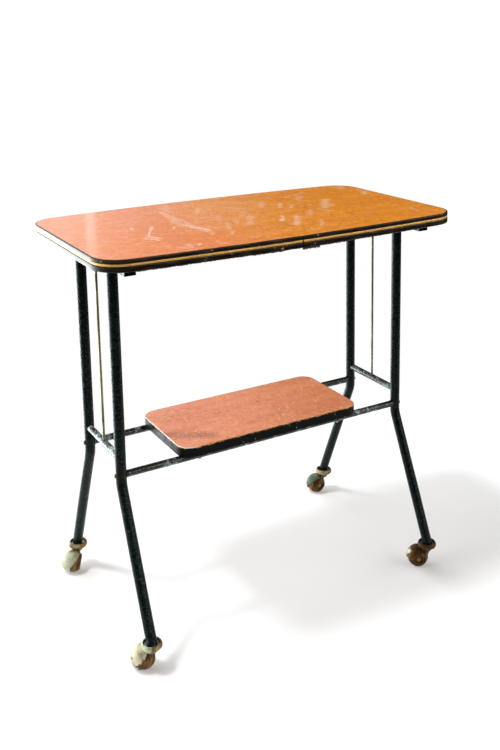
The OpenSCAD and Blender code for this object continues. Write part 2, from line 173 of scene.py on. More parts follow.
walls = mixed(air, span(air, height, 0.45, 0.8), wall.outputs["Color"], CEILING)
pane = times(air, between(air, bearing, -118, -75, -2, 4), between(air, height, -0.5, -0.4, 0.68, 0.76))
bare = times(air, span(air, bearing, -62, -45), span(air, height, 0.5, 0.35))
rays = add_node(air, "ShaderNodeLightPath").outputs
hidden = most(air, span(air, bearing, -62, -80), span(air, height, 0.02, 0.14))
shown_pane = calc(air, "SUBTRACT", pane, times(air, pane, rays["Is Glossy Ray"], hidden))
high_pane = times(air, between(air, bearing, 80, 95, 170, 179),
                  between(air, height, 0.2, 0.27, 0.55, 0.62))
glint = between(air, bearing, 18.85, 19.05, 19.4, 19.6)
glint = times(air, glint, calc(air, "LESS_THAN", height, 0.5))
wall_air, pane_air, high_air, white_air = (
    add_node(air, "ShaderNodeBackground", {"Color": colour, "Strength": strength}).outputs[0]
    for colour, strength in (
        (walls, scaled(air, glint, DOOR_GLINT, 1)),
        (PANE_COLOUR, times(air, shown_pane, scaled(air, bare, BARE_PANE, PANE))),
        (HIGH_PANE_COLOUR, times(air, high_pane, HIGH_PANE)),
        (WHITE, 1),
    )
)
pale_side = times(air, between(air, bearing, -94, -87, 17.3, 18.3), calc(air, "LESS_THAN", pane, 0.01))
mirrored = times(air, most(air, rays["Is Glossy Ray"], rays["Is Transmission Ray"]), pale_side)
seen_air = add_node(air, "ShaderNodeMixShader", {
    0: most(air, rays["Is Camera Ray"], mirrored),
    1: added(air, added(air, wall_air, pane_air), high_air), 2: white_air,
})
add_node(air, "ShaderNodeOutputWorld", {"Surface": seen_air.outputs[0]})

for name, (energy, spread, place) in SUNS.items():
    sun = bpy.data.lights.new(name, "SUN")
    sun.energy, sun.angle, sun.color = energy, math.radians(spread), SUN_COLOUR
    lamp = add_object(name, sun)
    lamp.visible_glossy = False
    lamp.matrix_world = Vector(place).to_track_quat("Z", "Y").to_matrix().to_4x4()

ground = bpy.data.meshes.new("floor")
(west, south), (east, north) = PAPER
sheet = [(west, south, 0), (east, south, 0), (east, north, 0), (west, north, 0)]
ground.from_pydata(sheet, [], [(0, 1, 2, 3)])
floor = add_object("floor", ground)
paper = bpy.data.materials.new("floor_paper")
paper.use_nodes = True
tree = paper.node_tree
tree.nodes.clear()
rays = add_node(tree, "ShaderNodeLightPath").outputs
seen = most(tree, rays["Is Camera Ray"], rays["Is Glossy Ray"], rays["Is Transmission Ray"])
glow = add_node(tree, "ShaderNodeEmission", {"Color": WHITE, "Strength": times(tree, seen, PAPER_GLOW)})
dull = add_node(tree, "ShaderNodeBsdfDiffuse", {"Color": PAPER_COLOUR})
add_node(tree, "ShaderNodeOutputMaterial", {"Surface": added(tree, dull.outputs[0], glow.outputs[0])})
ground.materials.append(paper)

# ---------------------------------------- core board of the top
# Pressed chip board, sawn to the outline of the top and grooved round its edge for the moulding.
# It shows only from below, where it is raw, with flakes of wood lying every way.
BOARD_FLAKE, BOARD_GLUE = (0.46, 0.3, 0.16), (0.25, 0.15, 0.075)


def new_material(name, **sockets):
    """A material with one Principled BSDF whose constant sockets are set, its tree and its sockets."""
    made = bpy.data.materials.new(name)
    made.use_nodes = True
    own = made.node_tree
    own.nodes.clear()
    sockets = {name.replace("_", " "): value for name, value in sockets.items()}
    shader = add_node(own, "ShaderNodeBsdfPrincipled", sockets)
    add_node(own, "ShaderNodeOutputMaterial", {"Surface": shader.outputs[0]})
    return made, own, shader.inputs


def stretched(tree, place, scale, turned=0, moved=0):
    """A place scaled, turned about the upright axis by degrees, and moved along X."""
    return add_node(tree, "ShaderNodeMapping", {
        "Vector": place, "Location": (moved, 0, 0), "Rotation": (0, 0, math.radians(turned)),
        "Scale": scale,
    }).outputs[0]


def object_place(tree, scale=(1, 1, 1), turned=0):
    """The point on the piece in metres, scaled and turned."""
    return stretched(tree, add_node(tree, "ShaderNodeTexCoord").outputs["Object"], scale, turned)


def noise_at(tree, place, scale, detail=3, roughness=0.55, output=0, **more):
    """Noise at a place: one value, or three at once by the output Color."""
    return add_node(tree, "ShaderNodeTexNoise", {
        "Vector": place, "Scale": scale, "Detail": detail, "Roughness": roughness, **more,
    }).outputs[output]


def dress(tree, shader, colour, roughness, height, strength, depth):
    """Feeds a material's colour and roughness, and a bump from a height."""
    tree.links.new(colour, shader["Base Color"])
    if roughness is not None:
        tree.links.new(roughness, shader["Roughness"])
    bump = add_node(tree, "ShaderNodeBump", {"Height": height, "Strength": strength, "Distance": depth})
    tree.links.new(bump.outputs[0], shader["Normal"])


def wear(nodes, material):
    """Gives CAD nodes their finish."""
    for name in nodes:
        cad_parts[name].data.materials.clear()
        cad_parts[name].data.materials.append(material)


raw_board, tree, shader = new_material("raw_board", Roughness=0.88)
flake_place = object_place(tree, (90, 240, 240), 25)
flakes = add_node(tree, "ShaderNodeTexVoronoi", {"Vector": flake_place, "Scale": 1}).outputs
fibres = noise_at(tree, object_place(tree, (60, 900, 900), 10), 1, 4)
shade = times(tree, noise_at(tree, flakes["Color"], 3, 1), 0.5)
shade = span(tree, scaled(tree, fibres, 0.5, shade), 0.3, 0.7)
height = calc(tree, "ADD", fibres, flakes["Distance"])
dress(tree, shader, mixed(tree, shade, BOARD_GLUE, BOARD_FLAKE), None, height, 0.35, 0.0004)
wear(["top_board", "shelf_board"], raw_board)

# ---------------------------------------- laminate of the top
# A sheet of printed wood-look laminate, pressed on the core board. Years of use have scratched and
# scuffed it, most of all left of the middle, and the scratches look pale.
TOP_HONEY, TOP_RED = (0.88, 0.315, 0.013), (0.86, 0.205, 0.014)
TOP_GRAIN, TOP_SCUFF, GRIT = (0.64, 0.155, 0.009), (0.93, 0.75, 0.62), (0.4, 0.3, 0.25)
TOP_FACE, TOP_DRIFT = 0.72, (0.022, 0.022, 0)
# Scratches and blotches in millimetres from the middle of the top: start, end, width and strength
TOP_SCRATCHES = (
    ((-187, 9), (-219, -57), 5, 1), ((-235, -69), (-216, -96), 5, 1),
    ((-222, -62), (-212, -84), 9, 0.8), ((-219, 21), (-226, 5), 5, 1),
    ((-152, -13), (-158, -25), 5, 0.8), ((-117, 127), (-120, -76), 9, 0.55),
    ((-124, 97), (-131, -19), 8, 0.5), ((-127, -11), (-115, -70), 16, 0.8),
    ((-118, -48), (-119, -106), 7, 0.6), ((-104, 167), (-98, 114), 12, 0.4),
    ((-135, 40), (-138, -20), 10, 0.45), ((-171, -157), (-178, -170), 7, 0.9),
    ((-188, -154), (-198, -174), 12, 0.6), ((-222, -150), (-205, -172), 6, 0.6),
    ((-141, -156), (-132, -180), 6, 0.6), ((-135, -169), (-142, -181), 9, 0.4),
    ((218, 55), (170, -16), 17, 0.55), ((203, 42), (192, -10), 9, 0.5),
    ((81, -55), (43, -116), 13, 0.65), ((57, -37), (34, -76), 7, 0.9), ((6, -8), (-29, -71), 15, 0.45),
    ((119, 71), (98, 35), 9, 0.55), ((130, 46), (113, 20), 6, 0.5), ((140, 27), (142, 19), 4, 0.8),
    ((133, -18), (107, -58), 13, 0.4), ((153, -22), (160, -50), 12, 0.35),
    ((99, -113), (75, -149), 7, 0.5), ((192, 115), (173, 86), 20, 0.35),
    ((225, 150), (160, 120), 10, 0.3), ((330, 166), (316, 145), 16, 0.5),
    ((300, 180), (322, 150), 10, 0.45), ((342, 91), (321, 62), 13, 0.5),
    ((342, 120), (330, 60), 7, 0.5), ((303, -110), (301, -147), 5, 0.4),
    ((-82, 183), (-95, 154), 9, 0.4), ((-42, 118), (-64, 73), 11, 0.4),
    ((-57, -38), (-80, -84), 9, 0.4), ((94, 101), (68, 55), 14, 0.4), ((-42, 29), (-59, -4), 11, 0.35),
    ((-84, -106), (-96, -127), 8, 0.45), ((-32, -23), (-49, -54), 9, 0.35),
    ((20, 150), (52, 120), 8, 0.35), ((20, 40), (-10, 0), 12, 0.3), ((10, 100), (30, 60), 10, 0.3),
    ((-300, -50), (-290, -62), 4, 0.5),
)


def new_group(name, inputs, outputs):
    """A shader group with named sockets; returns it, what comes in and where things go out."""
    group = bpy.data.node_groups.new(name, "ShaderNodeTree")
    for title, value in inputs.items():
        kind = "Float" if isinstance(value, (int, float)) else "Color" if len(value) == 4 else "Vector"
        socket = group.interface.new_socket(title, in_out="INPUT", socket_type="NodeSocket" + kind)
        socket.default_value = value
    for title, kind in outputs.items():
        group.interface.new_socket(title, in_out="OUTPUT", socket_type="NodeSocket" + kind)
    return group, group.nodes.new("NodeGroupInput").outputs, group.nodes.new("NodeGroupOutput").inputs


def fill_group(tree, group, **sockets):
    """Places a group in a material and returns its outputs."""
    return add_node(tree, "ShaderNodeGroup", sockets, node_tree=group).outputs


def vector_calc(tree, operation, *values, output=0, **more):
    """An output of a vector maths node; output 1 is its plain value."""
    sockets = {**dict(enumerate(values)), **more}
    return add_node(tree, "ShaderNodeVectorMath", sockets, operation=operation).outputs[output]


def uneven(tree, place, scale, low, high):
    """A roughness that wanders between two values."""
    return span(tree, noise_at(tree, place, scale), 0.3, 0.7, low, high)


# One scratch: full along the line from Start to End, frayed and gone at Width beside it
scratch, given, out = new_group("scratch", {
    "Position": (0, 0, 0), "Start": (0, 0, 0), "End": (0, 0, 0), "Width": 0.005, "Strength": 1,
}, {"Mask": "Float"})
along = vector_calc(scratch, "SUBTRACT", given["End"], given["Start"])
reach = vector_calc(scratch, "SUBTRACT", given["Position"], given["Start"])
share = calc(scratch, "DIVIDE", vector_calc(scratch, "DOT_PRODUCT", reach, along, output=1),
             vector_calc(scratch, "DOT_PRODUCT", along, along, output=1))
share = add_node(scratch, "ShaderNodeClamp", {"Value": share}).outputs[0]
beside = vector_calc(scratch, "SUBTRACT", reach, vector_calc(scratch, "SCALE", along, Scale=share))
fray = calc(scratch, "SUBTRACT", noise_at(scratch, given["Position"], 260, 4, 0.7), 0.5)
frayed = scaled(scratch, fray, times(scratch, given["Width"], 2.2),
                vector_calc(scratch, "LENGTH", beside, output=1))
full = span(scratch, calc(scratch, "DIVIDE", frayed, given["Width"]), 0.75, 0.15)
scratch.links.new(times(scratch, full, given["Strength"]), out["Mask"])


def marks(tree, place, lines):
    """The mask of several scratches, each with start, end, width and strength, in millimetres."""
    return most(tree, *(fill_group(
        tree, scratch, Position=place, Width=width / 1000, Strength=strength,
        Start=[c / 1000 for c in (*start, 0)[:3]], End=[c / 1000 for c in (*end, 0)[:3]],
    )["Mask"] for start, end, width, strength in lines))


# Printed grain: long fine lines and broader flames along X, in two colours, with dirt over them
grain, given, out = new_group("printed_grain", {
    "Position": (0, 0, 0), "Ground": (1, 1, 1, 1), "Line": (0, 0, 0, 1), "Depth": 0.5, "Grit": 0.3,
}, {"Color": "Color", "Height": "Float"})
at = given["Position"]
flame = noise_at(grain, stretched(grain, at, (3, 24, 24)), 1, 5, 0.6, Distortion=0.6)
line = noise_at(grain, stretched(grain, at, (14, 520, 520)), 1, 3, 0.6)
mottle = span(grain, noise_at(grain, at, 70, 8, 0.78, Distortion=1.2), 0.46, 0.66)
shade = calc(grain, "ADD", span(grain, flame, 0.32, 0.68), span(grain, line, 0.42, 0.72))
shade = scaled(grain, mottle, 0.55, times(grain, shade, 0.35))
printed = mixed(grain, times(grain, shade, given["Depth"]), given["Ground"], given["Line"])
darkening = noise_at(grain, stretched(grain, at, (150, 62, 150), 14.324), 1, 5, 0.8, Distortion=0.8)
darkening = times(grain, span(grain, darkening, 0.42, 0.6), given["Grit"])
grain.links.new(mixed(grain, darkening, printed, GRIT, "MULTIPLY"), out["Color"])
grain.links.new(line, out["Height"])

# Fine scuffs: hair scratches in three directions, where a patchy mask lets them show, and a dusty veil
scuffs, given, out = new_group("fine_scuffs", {"Position": (0, 0, 0), "Amount": 0.5}, {"Mask": "Float"})
at = given["Position"]
hairs = []
for degrees, moved in ((18, 0), (-34, 3.1), (62, 7.7)):
    hair = stretched(scuffs, at, (34, 230, 1), degrees, moved)
    hairs.append(span(scuffs, noise_at(scuffs, hair, 1, 4, 0.65), 0.6, 0.7))
patch = span(scuffs, noise_at(scuffs, at, 16, 4, 0.65), 0.42, 0.6)
dust = span(scuffs, noise_at(scuffs, at, 900, 2, 0.6), 0.45, 0.75)
veil = span(scuffs, noise_at(scuffs, stretched(scuffs, at, (38, 95, 1), 12), 1, 5, 0.7), 0.48, 0.64)
scuffed = most(scuffs, times(scuffs, most(scuffs, *hairs), patch), times(scuffs, veil, dust, 0.75))
scuffs.links.new(times(scuffs, scuffed, given["Amount"]), out["Mask"])

laminate, tree, shader = new_material("top_laminate", IOR=1.5)
place = object_place(tree)
drift = noise_at(tree, place, 55, 4, 0.7, output="Color")
drift = vector_calc(tree, "SUBTRACT", drift, (0.5, 0.5, 0.5))
drifted = vector_calc(tree, "MULTIPLY_ADD", drift, TOP_DRIFT, place)
flat_place = vector_calc(tree, "MULTIPLY", drifted, (1, 1, 0))
lengthways = split(tree, place)["X"]
ground_colour = mixed(tree, span(tree, lengthways, -0.2, 0.04), TOP_RED, TOP_HONEY)
print_out = fill_group(tree, grain, Position=place, Ground=ground_colour, Line=TOP_GRAIN,
                       Depth=0.75, Grit=0.36)
broken = span(tree, noise_at(tree, place, 330, 5, 0.75), 0.4, 0.6, 0.15, 1)
worn_left = span(tree, lengthways, -0.05, 0.28, 0.72, 0.34)
pale = most(tree, times(tree, marks(tree, flat_place, TOP_SCRATCHES), broken),
            fill_group(tree, scuffs, Position=place, Amount=worn_left)["Mask"])
colour = mixed(tree, times(tree, pale, 0.88), print_out["Color"], TOP_SCUFF)
rough = scaled(tree, pale, 0.25, uneven(tree, place, 9, 0.04, 0.09))
dress(tree, shader, colour, rough, calc(tree, "ADD", print_out["Height"], pale), 0.1, 0.0002)
wear(["top_laminate"], laminate)

# ---------------------------------------- edge moulding and stripe
# A dark plastic moulding pushed into the groove of the board, with two rounded beads and a channel
# between them that holds a crowned gold strip. Its two ends meet in the middle of the front side.
MOULDING_BLACK, MOULDING_BROWN = (0.01, 0.006, 0.004), (0.045, 0.03, 0.018)
MOULDING_CHIP = (0.42, 0.33, 0.19)
STRIPE_GOLD, STRIPE_DULL = (0.94, 0.56, 0.12), (0.64, 0.31, 0.05)
HALF_LENGTH, HALF_WIDTH, TOP_BOW, TOP_CORNER = 0.711 / 2, 0.409 / 2, 0.015, 0.052
BOW_RADIUS = (HALF_LENGTH ** 2 + TOP_BOW ** 2) / (2 * TOP_BOW)
MOULDING_GAP, STRIPE_GAP = 0.0014, 0.003
# Sections in millimetres: outward from the outline, and down from the top face
MOULDING_SECTION = (
    (-3, 0), (-1.6, 0.02), (-0.75, 0.3), (-0.25, 0.9), (-0.02, 1.9), (-0.02, 5.2), (-0.2, 6.2),
    (-0.6, 6.9), (-1, 7.2), (-1.75, 7.25), (-1.75, 11.55), (-1, 11.6), (-0.6, 11.9), (-0.2, 12.6),
    (-0.02, 13.6), (-0.02, 18.9), (-0.25, 20), (-0.75, 20.65), (-1.6, 20.95), (-3, 21),
    (-3, 10.6), (-11.9, 10.5), (-11.9, 8.3), (-3, 8.2),
)
STRIPE_SECTION = (
    (-1.72, 7.3), (-1.2, 7.45), (-0.85, 7.8), (-0.6, 8.3), (-0.46, 8.9), (-0.42, 9.4), (-0.46, 9.9),
    (-0.6, 10.5), (-0.85, 11), (-1.2, 11.35), (-1.72, 11.5),
)
# Single chips of the moulding, as scratches in millimetres
EDGE_CHIPS = (
    ((-42.5, -204.5, 703), (-40, -204.5, 703.5), 3, 1),
    ((28, -204.5, 717.5), (30.5, -204.5, 718), 1.6, 1),
    ((-185, -200.5, 702), (-182.5, -200.5, 702.5), 1.8, 1),
    ((-172, -201, 717.2), (-169.5, -201, 717.7), 1.6, 1),
)


def top_outline(gap):
    """The outline of the top, from the gap at the front middle and round to it again."""
    bow_y = HALF_WIDTH - BOW_RADIUS
    corner_x = HALF_LENGTH - TOP_CORNER
    corner_y = bow_y + math.sqrt((BOW_RADIUS - TOP_CORNER) ** 2 - corner_x ** 2)
    swing = math.asin(corner_x / (BOW_RADIUS - TOP_CORNER))
    start = math.asin(gap / 2 / BOW_RADIUS)
    bowed = [start + (swing - start) * i / 40 for i in range(40)]
    turned = [swing + (math.pi / 2 - swing) * i / 14 for i in range(15)]
    side = [(BOW_RADIUS * math.sin(a), -bow_y - BOW_RADIUS * math.cos(a)) for a in bowed]
    side += [(corner_x + TOP_CORNER * math.sin(a), -corner_y - TOP_CORNER * math.cos(a)) for a in turned]
    rear = [(x, -y) for x, y in reversed(side)]
    return side + rear + [(-x, -y) for x, y in side] + [(-x, -y) for x, y in rear]


def line_object(name, points, closed):
    """A string of edges through points, for a sweep to follow or to carry."""
    mesh = bpy.data.meshes.new(name)
    edges = [(i, i + 1) for i in range(len(points) - 1)] + ([(len(points) - 1, 0)] if closed else [])
    mesh.from_pydata([Vector(p).to_3d() for p in points], edges, [])
    return add_object(name, mesh)


def new_geometry_tree(name, inputs):
    """A geometry tree with named inputs; returns it, what comes in, and the node that it ends in."""
    tree = bpy.data.node_groups.new(name, "GeometryNodeTree")
    tree.interface.new_socket("Geometry", in_out="INPUT", socket_type="NodeSocketGeometry")
    for title, kind in inputs.items():
        tree.interface.new_socket(title, in_out="INPUT", socket_type="NodeSocket" + kind)
    tree.interface.new_socket("Geometry", in_out="OUTPUT", socket_type="NodeSocketGeometry")
    return tree, tree.nodes.new("NodeGroupInput").outputs, tree.nodes.new("NodeGroupOutput").inputs


def finish_tree(tree, geometry, finish, out):
    """Ends a geometry tree in Realize Instances and Set Material."""
    whole = add_node(tree, "GeometryNodeRealizeInstances", {0: geometry}).outputs[0]
    made = add_node(tree, "GeometryNodeSetMaterial", {"Geometry": whole, "Material": finish})
    tree.links.new(made.outputs[0], out[0])


def curve_of(tree, geometry):
    """The curve along a string of edges."""
    return add_node(tree, "GeometryNodeMeshToCurve", {0: geometry}).outputs[0]


def shape_of(tree, thing):
    """The geometry of an object."""
    return add_node(tree, "GeometryNodeObjectInfo", {0: thing}).outputs["Geometry"]


def plain_mesh(base, name):
    """The mesh that an object's modifiers make of it; the object itself goes."""
    bpy.context.view_layer.update()
    shown = base.evaluated_get(bpy.context.evaluated_depsgraph_get())
    mesh = bpy.data.meshes.new_from_object(shown)
    mesh.name = name
    bpy.data.objects.remove(base)
    return mesh


def made_by(tree, base, name, values):
    """Runs a geometry tree on an object and returns its result as a plain piece at the origin."""
    step = base.modifiers.new("making", "NODES")
    step.node_group = tree
    for item in tree.interface.items_tree:
        if item.in_out == "INPUT" and item.name in values:
            step[item.identifier] = values[item.name]
    return add_object(name, plain_mesh(base, name))


def merged(piece, smooth_below=None):
    """Merges a piece's doubles, turns its faces outward and smooths the edges below an angle."""
    work = bmesh.new()
    work.from_mesh(piece.data)
    bmesh.ops.remove_doubles(work, verts=work.verts, dist=1e-6)
    bmesh.ops.recalc_face_normals(work, faces=work.faces)
    work.to_mesh(piece.data)
    work.free()
    if smooth_below is not None:
        piece.data.shade_smooth()
        piece.data.set_sharp_from_angle(angle=math.radians(smooth_below))


sweep, given, out = new_geometry_tree("sweep_along_outline", {"Section": "Object", "Finish": "Material"})
path = curve_of(sweep, given["Geometry"])
path = add_node(sweep, "GeometryNodeSetCurveNormal", {0: path}, mode="Z_UP")
swept = add_node(sweep, "GeometryNodeCurveToMesh", {
    "Curve": path.outputs[0], "Profile Curve": curve_of(sweep, shape_of(sweep, given["Section"])),
    "Fill Caps": True,
})
finish_tree(sweep, swept.outputs[0], given["Finish"], out)

# Small chips: spots in some cells of a pattern, with a rough rim
chips, given, out = new_group("chips", {
    "Position": (0, 0, 0), "Scale": 200, "Share": 0.1, "Reach": 0.3,
}, {"Mask": "Float"})
at = given["Position"]
cells = add_node(chips, "ShaderNodeTexVoronoi", {"Vector": at, "Scale": given["Scale"]}).outputs
chance = add_node(chips, "ShaderNodeSeparateColor", {0: cells["Color"]}).outputs[0]
ragged = scaled(chips, noise_at(chips, at, 1500, 2), 0.3,
                calc(chips, "SUBTRACT", cells["Distance"], 0.15))
near = span(chips, calc(chips, "DIVIDE", ragged, given["Reach"]), 1, 0.75)
chips.links.new(times(chips, near, calc(chips, "LESS_THAN", chance, given["Share"])), out["Mask"])

dark_plastic, tree, shader = new_material("dark_moulding", Specular_IOR_Level=0.2)
place = object_place(tree)
specks = fill_group(tree, chips, Position=place, Scale=210, Share=0.11, Reach=0.26)["Mask"]
small = fill_group(tree, chips, Position=place, Scale=520, Share=0.07, Reach=0.4)["Mask"]
where = span(tree, noise_at(tree, place, 21, 2), 0.5, 0.62)
worn = most(tree, times(tree, most(tree, specks, small), where), marks(tree, place, EDGE_CHIPS))
tint = span(tree, noise_at(tree, object_place(tree, (30, 30, 300)), 1, 4), 0.4, 0.7)
tint = mixed(tree, tint, MOULDING_BLACK, MOULDING_BROWN)
colour = mixed(tree, times(tree, worn, 0.8), tint, MOULDING_CHIP)
height = calc(tree, "SUBTRACT", noise_at(tree, place, 60, 2), worn)
dress(tree, shader, colour, uneven(tree, place, 60, 0.14, 0.28), height, 0.06, 0.0002)

gold, tree, shader = new_material("gold_strip", Metallic=0.3)
place = object_place(tree)
streaks = span(tree, noise_at(tree, object_place(tree, (40, 40, 700)), 1, 4), 0.35, 0.75)
colour, rough = mixed(tree, streaks, STRIPE_GOLD, STRIPE_DULL), uneven(tree, place, 120, 0.24, 0.42)
dress(tree, shader, colour, rough, noise_at(tree, place, 90, 2), 0.05, 0.0002)

for name, points, gap, finish, node, slot_name in (
    ("moulding_sweep", MOULDING_SECTION, MOULDING_GAP, dark_plastic, "edge_moulding", "dark_edging"),
    ("stripe_sweep", STRIPE_SECTION, STRIPE_GAP, gold, "edge_stripe", "stripe_metal"),
):
    section = line_object("section", [(a / 1000, b / 1000) for a, b in points], True)
    outline = line_object("outline", [(x, y, TOP_FACE) for x, y in top_outline(gap)], False)
    piece = made_by(sweep, outline, name, {"Section": section, "Finish": finish})
    bpy.data.objects.remove(section)
    merged(piece, 35)
    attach(piece, "frame")
    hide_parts(node)

# ---------------------------------------- splinters under the front edge
# Below the moulding the sawn underside of the board has torn out, so brown splinters of board and
# glue hang from the front edge, most of them just right of the moulding's joint.
SPLINTER_DEPTH, SPLINTER_INSET, SPLINTER_TOP = 0.0007, 0.0021, 0.6995
SPLINTER_DARK, SPLINTER_PALE = (0.01, 0.006, 0.003), (0.13, 0.1, 0.022)
# Stretches in millimetres along the front edge: start, end, spacing, length down, and seed
SPLINTER_STRETCHES = (
    (-300, -215, 2.2, 2.4, 3), (-215, -100, 3.4, 1.6, 4), (-100, -30, 2.2, 2.6, 5),
    (-30, 2, 3, 1.8, 6), (1, 34, 0.4, 5.4, 8), (32, 90, 1.6, 2.4, 9), (90, 250, 4, 1.2, 12),
)
splinter, tree, shader = new_material("splinter_brown", Roughness=0.75)
flecks = span(tree, noise_at(tree, object_place(tree), 650, 4, 0.7), 0.42, 0.66)
dress(tree, shader, mixed(tree, flecks, SPLINTER_DARK, SPLINTER_PALE), None, flecks, 0.5, 0.0003)


def random_in(tree, low, high, seed):
    """A random number for each point, or a random vector if low and high are vectors."""
    vector = isinstance(low, tuple)
    made = add_node(tree, "FunctionNodeRandomValue", data_type="FLOAT_VECTOR" if vector else "FLOAT")
    for socket, value in zip(made.inputs[0:2] if vector else made.inputs[2:4], (low, high)):
        socket.default_value = value
    tree.links.new(seed, made.inputs["Seed"])
    return made.outputs[0 if vector else 1]


def instances(tree, points, thing, angles, **sockets):
    """Copies of an object on points, turned by angles about the axes."""
    turn = add_node(tree, "FunctionNodeEulerToRotation", {0: angles}).outputs[0]
    return add_node(tree, "GeometryNodeInstanceOnPoints", {
        "Points": points, "Instance": shape_of(tree, thing), "Rotation": turn, **sockets,
    }).outputs[0]


splinters, given, out = new_geometry_tree("splinters_on_path", {
    "Splinter": "Object", "Spacing": "Float", "Length": "Float", "Seed": "Int", "Finish": "Material",
})
spread = add_node(splinters, "GeometryNodeCurveToPoints", {
    "Curve": curve_of(splinters, given["Geometry"]), "Length": given["Spacing"],
}, mode="LENGTH").outputs[0]
size = random_in(splinters, (0.5, 0.7, 0.35), (1.6, 1.5, 1), given["Seed"])
drop = add_node(splinters, "ShaderNodeCombineXYZ", {"X": 1, "Y": 1, "Z": given["Length"]}).outputs[0]
lean = random_in(splinters, (-0.25, -0.5, -0.35), (0.35, 0.5, 0.35), given["Seed"])
placed = instances(splinters, spread, given["Splinter"], lean,
                   Scale=vector_calc(splinters, "MULTIPLY", size, drop))
finish_tree(splinters, placed, given["Finish"], out)

# One splinter, a millimetre long and some millimetres wide, with a torn lower end
torn = bpy.data.meshes.new("splinter")
rim = (
    (-0.0022, 0.0004), (-0.0016, -0.0007), (-0.0006, -0.0005),
    (-0.0001, -0.001), (0.0009, -0.0006), (0.0021, 0.0004),
)
sides = [(i, (i + 1) % 6, (i + 1) % 6 + 6, i + 6) for i in range(6)]
torn.from_pydata([(x, y * SPLINTER_DEPTH / 2, z) for y in (-1, 1) for x, z in rim], [],
                 [tuple(range(5, -1, -1)), tuple(range(6, 12))] + sides)
splinter_shape = add_object("splinter", torn)


def front_edge(start, end):
    """Points along the front side of the top, just inside its outline, from and to in millimetres."""
    middle, inner = BOW_RADIUS - HALF_WIDTH, BOW_RADIUS - SPLINTER_INSET
    across = [(start + (end - start) * i / 40) / 1000 for i in range(41)]
    return [(x, middle - math.sqrt(inner ** 2 - x * x), SPLINTER_TOP) for x in across]


bristle = []
for start, end, spacing, length, seed in SPLINTER_STRETCHES:
    edge_line = line_object("front_edge", front_edge(start, end), False)
    bristle.append(made_by(splinters, edge_line, "splinters", {
        "Splinter": splinter_shape, "Spacing": spacing / 1000, "Length": length, "Seed": seed,
        "Finish": splinter,
    }))
bpy.data.objects.remove(splinter_shape)


def piece_from(work, name, material):
    """A piece of one material from a finished bmesh."""
    mesh = bpy.data.meshes.new(name)
    work.to_mesh(mesh)
    work.free()
    mesh.materials.append(material)
    return add_object(name, mesh)


def joined(parts, name, material):
    """One piece from several, all of one material."""
    work = bmesh.new()
    for part in parts:
        work.from_mesh(part.data)
        bpy.data.objects.remove(part)
    return piece_from(work, name, material)


fringe = joined(bristle, "edge_splinters", splinter)
merged(fringe)
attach(fringe, "frame")

# ---------------------------------------- bars, legs and rails
# Steel tube in black-green hammered enamel: two flat bars under the top, four bent legs, the cross rails
# between them and the two long rails for the shelf. The paint is rubbed pale on the rails, and these
# pale patches also stand for the window's highlights on them: partly wear, partly painted highlight.
ENAMEL_BLACK, ENAMEL_GREEN = (0.001, 0.0015, 0.0015), (0.0055, 0.015, 0.014)
ENAMEL_RUBBED_AND_HIGHLIT = (0.38, 0.51, 0.51)

# Hammered enamel: soft dimples two millimetres wide, darker in their middles
hammer, given, out = new_group("hammered", {"Position": (0, 0, 0)}, {"Height": "Float", "Pool": "Float"})
dimples = add_node(hammer, "ShaderNodeTexVoronoi", {
    "Vector": given["Position"], "Scale": 310, "Smoothness": 0.6,
}, feature="SMOOTH_F1").outputs["Distance"]
swell = noise_at(hammer, given["Position"], 130)
pool = scaled(hammer, dimples, 0.5, times(hammer, swell, 0.6))
hammer.links.new(scaled(hammer, dimples, 0.7, swell), out["Height"])
hammer.links.new(span(hammer, pool, 0.35, 0.75), out["Pool"])


def enamel(name, rubbed_and_highlit):
    """The hammered enamel, with a share of it rubbed pale: wear and painted highlight."""
    made, tree, shader = new_material(name, Specular_IOR_Level=0.1 + 0.6 * rubbed_and_highlit)
    place = object_place(tree)
    beaten = fill_group(tree, hammer, Position=place)
    colour = mixed(tree, beaten["Pool"], ENAMEL_BLACK, ENAMEL_GREEN)
    patch = noise_at(tree, place, 55, 5, 0.7)
    patch = span(tree, patch, 0.66 - 0.2 * rubbed_and_highlit, 0.76 - 0.1 * rubbed_and_highlit, 0, 0.35 + 0.5 * rubbed_and_highlit)
    colour = mixed(tree, patch, colour, ENAMEL_RUBBED_AND_HIGHLIT)
    dress(tree, shader, colour, uneven(tree, place, 40, 0.16, 0.3), beaten["Height"], 0.85, 0.001)
    return made


CORNERS = [side + "_" + end for side in ("left", "right") for end in ("front", "rear")]


def at_corners(*pieces):
    """The names of pieces that stand at every corner."""
    return [piece + "_" + corner for piece in pieces for corner in CORNERS]


leg_enamel = enamel("leg_enamel", 0.04)
wear(at_corners("leg") + ["top_bar_left", "top_bar_right"], leg_enamel)
# Pale rubbed patches on the rails, strongest on the left cross rail: partly wear, partly a painted
# highlight of the window.
wear(["cross_rail_right", "rail_front", "rail_rear"], enamel("rubbed_and_highlit_enamel", 0.75))
wear(["cross_rail_left"], enamel("rail_rubbed_and_highlit_enamel", 1.05))

